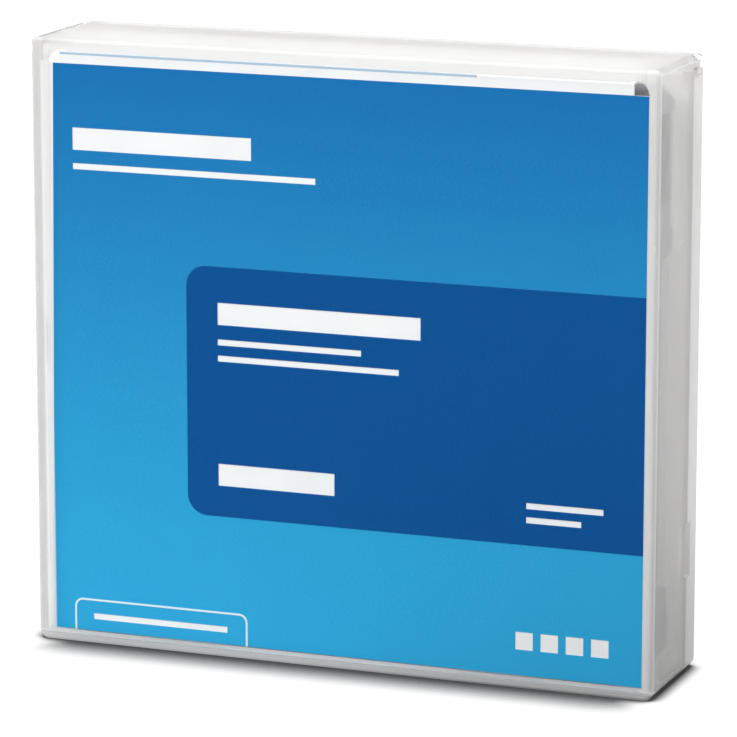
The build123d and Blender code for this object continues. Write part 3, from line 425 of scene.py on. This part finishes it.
FINISHES = {
    "case_base": case_plastic(
        "case_base_plastic", BASE_MILK, (screen(228, 227, 225), screen(236, 235, 233)), False
    ),
    "case_lid": case_plastic(
        "case_lid_plastic", LID_MILK, (screen(241, 240, 238), screen(249, 248, 246)), True
    ),
    "insert_card": folded_card("card_white"),
    "label_sheet": paper("sheet_paper", (0.9, 0.92, 0.93, 1.0)),
    "print_blue_field": printed(
        "ink_blue",
        [
            (0.0, screen(52, 173, 227)),
            (0.2, screen(49, 168, 220)),
            (0.55, screen(42, 149, 206)),
            (0.8, screen(35, 130, 192)),
            (1.0, screen(28, 116, 184)),
        ],
    ),
    "print_dark_panel": printed("ink_dark_blue", [(0.0, screen(16, 84, 153)), (1.0, screen(14, 83, 152))]),
    "print_tab_outline": printed("ink_pale", [(0.0, screen(226, 244, 250)), (1.0, screen(226, 244, 250))]),
    "upper_shell": plastic("shell_grey", screen(120, 121, 124), 0.5),
    "shell_screws": metal("screw_steel", (0.6, 0.6, 0.61, 1.0), 0.35),
    "door": plastic("door_plastic", screen(74, 75, 78), 0.4),
    "door_spring": metal("spring_steel", (0.55, 0.56, 0.58, 1.0), 0.25),
    "leader_pin": metal("pin_steel", (0.7, 0.7, 0.7, 1.0), 0.2),
    "pin_clamp": plastic("clamp_plastic", screen(40, 40, 42), 0.4),
    "tape_pack": wound_tape("tape_film"),
    "reel_hub": plastic("reel_plastic", screen(206, 210, 214), 0.3, pits=1500.0, drift=0.03),
    "drive_plate": metal("plate_steel", (0.62, 0.62, 0.63, 1.0), 0.3, rings=True),
    "brake_button": plastic("brake_plastic", screen(232, 231, 226), 0.4, drift=0.03),
    "write_tab": plastic("tab_plastic", screen(196, 42, 34), 0.4),
    "memory_chip": plastic("chip_board", screen(30, 92, 62), 0.45),
}
SHARED = {
    "lower_shell": "upper_shell",
    "pin_spring": "door_spring",
    "brake_spring": "door_spring",
    "tape_leader": "tape_pack",
    "reel_flange": "reel_hub",
    "release_plate": "brake_button",
}


def dress(node, material):
    """Gives a CAD node its finish through its object's own slot."""
    piece = NODES[node]
    if not piece.material_slots:
        piece.data.materials.append(None)
    for place in piece.material_slots:
        place.link = "OBJECT"
        place.material = material


for node in NODES:
    dress(node, FINISHES[SHARED.get(node, node)])

# Studio: a white floor that keeps the shadow, an even pale surround, a broad key lamp to the left of
# the camera, a small one beside the right wall, whose light falls off downwards, and a faint one above
SURROUND = 0.59
FLOOR_HALF = 4.0
FLOOR_GLOW = 0.96
FLOOR_WHITE = 0.5
FLOOR_SEEN = 0.15  # share of the floor's own lit white that the camera sees, under its glow
CONTACT_REACH = 4 * MM  # how far the dark shadow round the case's foot reaches
FRONT_REACH = 13 * MM  # how far the softer shadow before its front reaches
FRONT_LEAN = 1.0  # how far the floor looks backward for that one, to its look upward
SHADE_LEFT = 0.2  # share of its white that the floor gives back at the foot of the right wall, in shade
SHADE_NEAR = 10 * MM  # the shade is full up to here
SHADE_FAR = 85 * MM  # and gone from here


def make_floor():
    """One flat sheet under the case. To the camera, and in what mirrors or shows it, it glows to white."""
    mesh = bpy.data.meshes.new("floor")
    corners = np.array([(-1, -1), (1, -1), (1, 1), (-1, 1)]) * FLOOR_HALF
    mesh.from_pydata([(x, y, 0.0) for x, y in corners], [], [(0, 1, 2, 3)])
    floor = bpy.data.objects.new("floor", mesh)
    bpy.context.scene.collection.objects.link(floor)
    material, tree, out = new_material("floor_white")
    path = tree.add("ShaderNodeLightPath").outputs
    seen = tree.math("MAXIMUM", path["Is Camera Ray"], path["Is Glossy Ray"])
    seen = tree.math("MAXIMUM", seen, path["Is Transmission Ray"])
    near = tree.add("ShaderNodeAmbientOcclusion", {"samples": 16}, Distance=CONTACT_REACH)
    lean = tree.add("ShaderNodeCombineXYZ", Y=FRONT_LEAN, Z=1.0).outputs["Vector"]
    toward = tree.add("ShaderNodeVectorMath", {"operation": "NORMALIZE"})
    tree.feed(toward.inputs[0], lean)
    before = tree.add("ShaderNodeAmbientOcclusion", {"samples": 16}, Distance=FRONT_REACH)
    tree.feed(before.inputs["Normal"], toward.outputs["Vector"])
    place = object_place(tree)
    aside = tree.math("ABSOLUTE", place["X"])
    beside = tree.span(aside, CASE_HIGH.x - 8 * MM, CASE_HIGH.x, smooth=True)
    open_sky = tree.math(
        "MULTIPLY",
        tree.span(near.outputs["AO"], 0.42, 0.9, smooth=True),
        tree.math("MAXIMUM", beside, tree.span(before.outputs["AO"], 0.25, 0.86, smooth=True)),
    )
    from_wall = tree.math("SUBTRACT", place["X"], CASE_HIGH.x)
    along_wall = tree.math("MULTIPLY", place["Y"], 0.5)
    from_foot = tree.distance(from_wall, along_wall)
    shaded = tree.span(from_foot, SHADE_NEAR, SHADE_FAR, SHADE_LEFT, 1.0, smooth=True)
    shaded = tree.math("MULTIPLY", shaded, FLOOR_WHITE)
    level = tree.span(path["Is Camera Ray"], 0.0, 1.0, shaded, FLOOR_WHITE * FLOOR_SEEN)
    matt = tree.add("ShaderNodeBsdfDiffuse", Color=level)
    strength = tree.math("MULTIPLY", tree.math("MULTIPLY", seen, FLOOR_GLOW), open_sky)
    glow = tree.add("ShaderNodeEmission", Strength=strength)
    both = tree.add("ShaderNodeAddShader")
    tree.feed(both.inputs[0], matt.outputs["BSDF"])
    tree.feed(both.inputs[1], glow.outputs["Emission"])
    tree.feed(out.inputs["Surface"], both.outputs["Shader"])
    mesh.materials.append(material)


def add_lamp(name, place, aim, size, power):
    """A square area lamp at place, turned to aim."""
    lamp = bpy.data.lights.new(name, "AREA")
    lamp.shape = "SQUARE"
    lamp.size = size
    lamp.energy = power
    stand = bpy.data.objects.new(name, lamp)
    stand.location = place
    stand.rotation_mode = "QUATERNION"
    stand.rotation_quaternion = (Vector(aim) - Vector(place)).to_track_quat("-Z", "Y")
    bpy.context.scene.collection.objects.link(stand)


def make_studio():
    """World and lamps."""
    world = bpy.data.worlds.new("surround")
    bpy.context.scene.world = world
    world.use_nodes = True
    world.node_tree.nodes["Background"].inputs["Color"].default_value = (1.0, 1.0, 1.0, 1.0)
    world.node_tree.nodes["Background"].inputs["Strength"].default_value = SURROUND
    add_lamp("key_lamp", (-0.73, -1.08, 1.41), (0, 0, 0.05), 1.2, 34.0)
    add_lamp("side_lamp", (0.42, 0.02, 0.42), (0.05, 0, 0.07), 0.25, 0.85)
    add_lamp("top_lamp", (0.0, 0.25, 1.5), (0, 0, 0.1), 0.8, 4.0)


def make_camera():
    """Camera on the sight line of the photo."""
    turn, rise = radians(CAMERA_AZIMUTH), radians(CAMERA_RISE)
    back = Vector((sin(turn) * cos(rise), -cos(turn) * cos(rise), sin(rise)))
    lens = bpy.data.cameras.new("camera")
    lens.sensor_width = CAMERA_SENSOR
    lens.lens = CAMERA_LENS
    lens.clip_start = 0.01
    lens.clip_end = 20.0
    camera = bpy.data.objects.new("camera", lens)
    camera.location = CAMERA_AIM + back * CAMERA_DISTANCE
    camera.rotation_mode = "QUATERNION"
    roll = Quaternion((0, 0, 1), radians(CAMERA_ROLL))
    camera.rotation_quaternion = (-back).to_track_quat("-Z", "Y") @ roll
    bpy.context.scene.collection.objects.link(camera)
    bpy.context.scene.camera = camera


make_floor()
make_studio()
make_camera()
bpy.context.scene.view_settings.view_transform = "Standard"
